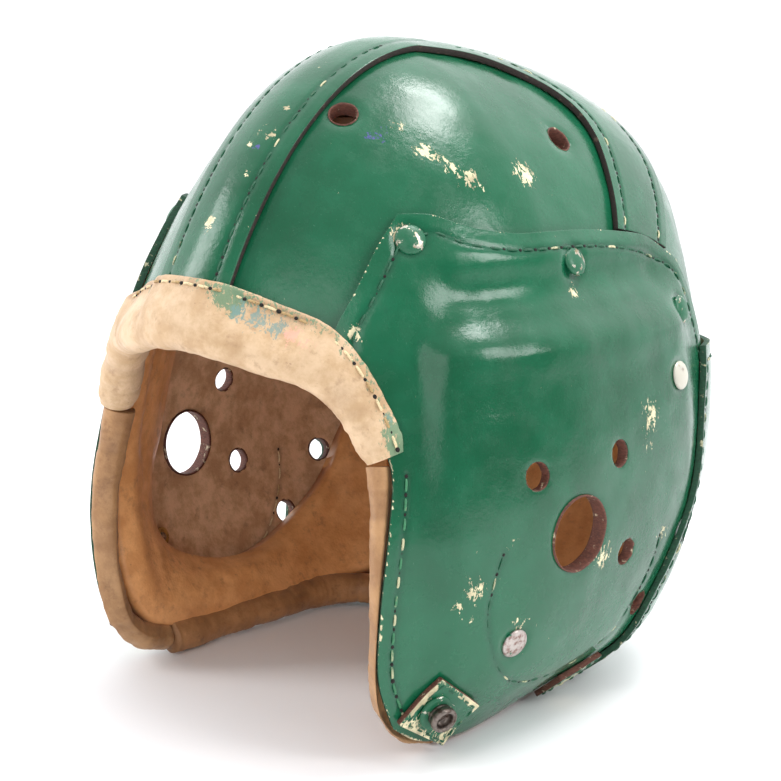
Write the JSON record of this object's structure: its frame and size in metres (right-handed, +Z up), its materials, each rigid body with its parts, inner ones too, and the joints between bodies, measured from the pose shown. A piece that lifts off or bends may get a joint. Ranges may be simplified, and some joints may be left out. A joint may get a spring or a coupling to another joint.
{
  "type": "american football helmet",
  "caption": "Leather football helmet with moulded ear flaps, a padded brow roll, a riveted webbing sling and chin strap studs on both flaps.",
  "frame": {"origin": "centre of the bounding box, on the surface that the rim rests on", "axes": "+Z up through the crown, -Y towards the wearer's face, +X towards the wearer's left ear"},
  "size_m": [0.196, 0.225, 0.2287],
  "materials": {
    "painted_leather": "glossy green enamel over moulded leather, scuffed and chipped",
    "tab_leather": "green enamel worn to tan leather",
    "roll_leather": "soft tan sheepskin leather, creased",
    "crown_felt": "pressed wool felt",
    "lining_leather": "thin brown lining leather, flesh side",
    "pad_leather": "padded soft brown leather",
    "webbing": "woven cotton webbing, reddish brown stripe",
    "ring_leather": "thick brown harness leather",
    "painted_rivet": "green enamel over a domed rivet head",
    "enamel_rivet": "rubbed enamel over a domed rivet head",
    "bare_rivet": "bare worn steel",
    "burr_brass": "dull brass",
    "snap_steel": "dark worn steel"
  },
  "bodies": {
    "root": {"crown_panel_left": "painted_leather", "crown_panel_right": "painted_leather", "crown_strip": "painted_leather", "crown_band_left": "painted_leather", "crown_band_right": "painted_leather", "side_panel_left": "painted_leather", "side_panel_right": "painted_leather", "neck_panel": "painted_leather", "brow_roll": "roll_leather", "edge_roll_left": "roll_leather", "edge_roll_right": "roll_leather", "base_roll": "roll_leather", "felt_lining_left": "crown_felt", "felt_lining_right": "crown_felt", "ear_lining_left": "lining_leather", "ear_lining_right": "lining_leather", "ear_pad_left": "pad_leather", "ear_pad_right": "pad_leather", "neck_pad": "pad_leather", "snap_tab_left": "tab_leather", "snap_tab_right": "tab_leather", "strap_tab_left": "tab_leather", "strap_tab_right": "tab_leather", "snap_base_left": "snap_steel", "snap_base_right": "snap_steel", "snap_stud_left": "snap_steel", "snap_stud_right": "snap_steel", "web_front_left": "webbing", "web_front_right": "webbing", "web_mid_left": "webbing", "web_mid_right": "webbing", "web_rear_left": "webbing", "web_rear_right": "webbing", "crown_ring": "ring_leather", "sling_rivets": "painted_rivet", "lining_rivets": "enamel_rivet", "ear_rivets": "bare_rivet", "sling_burrs": "burr_brass", "lining_burrs": "burr_brass"}
  },
  "joints": []
}
